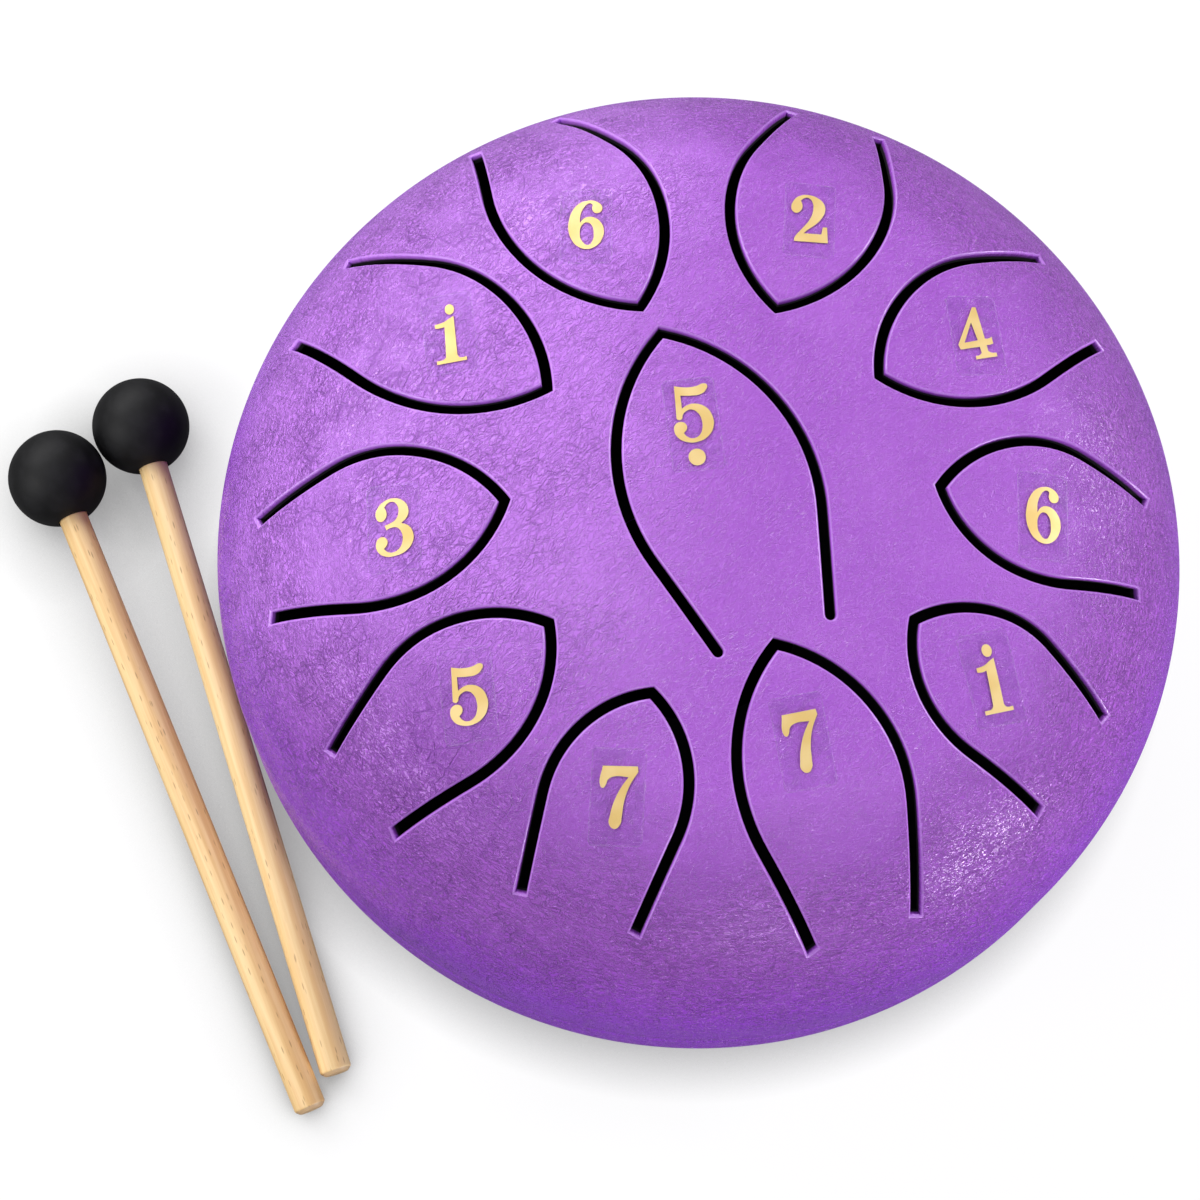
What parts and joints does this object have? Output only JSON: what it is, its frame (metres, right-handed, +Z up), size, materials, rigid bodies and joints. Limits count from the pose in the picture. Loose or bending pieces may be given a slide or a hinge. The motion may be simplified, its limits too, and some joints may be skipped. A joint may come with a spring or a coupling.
{
  "type": "steel tongue drum",
  "caption": "Round steel tongue drum with petal-shaped tongues cut in its domed top, note stickers, rubber feet and a pair of ball-headed mallets.",
  "frame": {"origin": "centre of the sound hole, in the plane of the bottom shell's underside, on the drum's axis", "axes": "+Z up along the drum's axis, +X to the right and +Y away from the player, who stands on the -Y side; the mallets lie on the -X side"},
  "size_m": [0.254, 0.2182, 0.1016],
  "materials": {
    "coated_steel": "violet wrinkle-texture coat, semi-gloss",
    "foot_rubber": "matt black",
    "adhesive_film": "white double-sided foam tape",
    "clear_film": "clear gloss film",
    "beech": "satin beech",
    "mallet_rubber": "matt black"
  },
  "bodies": {
    "drum": {"top_shell": "coated_steel", "bottom_shell": "coated_steel", "seam_weld": "coated_steel", "foot_back": "foot_rubber", "foot_left": "foot_rubber", "foot_right": "foot_rubber", "adhesive_back": "adhesive_film", "adhesive_left": "adhesive_film", "adhesive_right": "adhesive_film", "sticker_low_5": "clear_film", "sticker_2": "clear_film", "sticker_6_left": "clear_film", "sticker_high_1_left": "clear_film", "sticker_3": "clear_film", "sticker_5": "clear_film", "sticker_7_left": "clear_film", "sticker_7_right": "clear_film", "sticker_high_1_right": "clear_film", "sticker_6_right": "clear_film", "sticker_4": "clear_film"},
    "mallet_left": {"mallet_left_stick": "beech", "mallet_left_ball": "mallet_rubber"},
    "mallet_right": {"mallet_right_stick": "beech", "mallet_right_ball": "mallet_rubber"}
  },
  "joints": [
    {"name": "mallet_left_lift", "type": "slide", "parent": "drum", "child": "mallet_left", "axis": [0, 0, 1], "range_m": [0, 0.12]},
    {"name": "mallet_right_lift", "type": "slide", "parent": "drum", "child": "mallet_right", "axis": [0, 0, 1], "range_m": [0, 0.12]}
  ]
}
